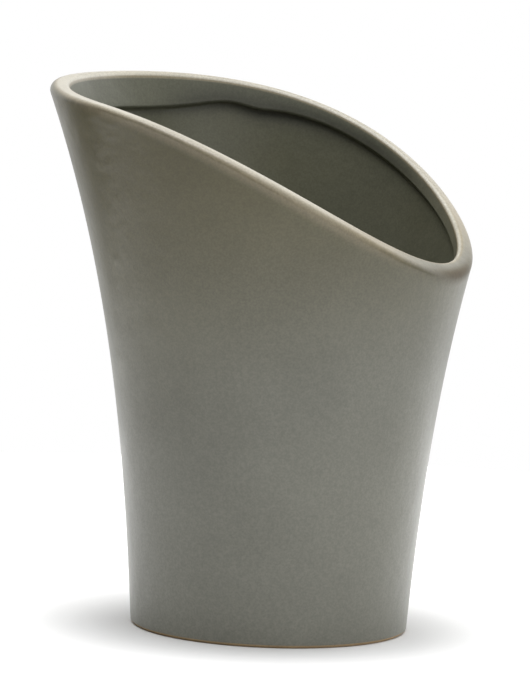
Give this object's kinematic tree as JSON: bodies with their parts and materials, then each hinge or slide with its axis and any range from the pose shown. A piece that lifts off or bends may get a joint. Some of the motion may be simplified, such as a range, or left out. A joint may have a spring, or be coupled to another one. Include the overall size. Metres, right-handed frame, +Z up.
{
  "type": "vase",
  "caption": "Round flared ceramic vase with a swooping slanted mouth, high on one side and low on the other, in a satin grey-green glaze; holds cut flowers or branches.",
  "frame": {"origin": "middle of the bounding box in X and Y, on the surface that the foot ring rests on", "axes": "+Z up along the body's axis, +X from the high side of the mouth to the low side, +Y away from the side that faces the viewer"},
  "size_m": [0.1412, 0.1483, 0.1798],
  "materials": {
    "clay": "bare fired clay, matt and slightly rough",
    "glaze": "satin grey-green glaze, paler where it breaks over the lip",
    "liner": "satin grey-green liner glaze"
  },
  "bodies": {
    "root": {"clay_body": "clay", "outer_glaze": "glaze", "liner_glaze": "liner"}
  },
  "joints": []
}
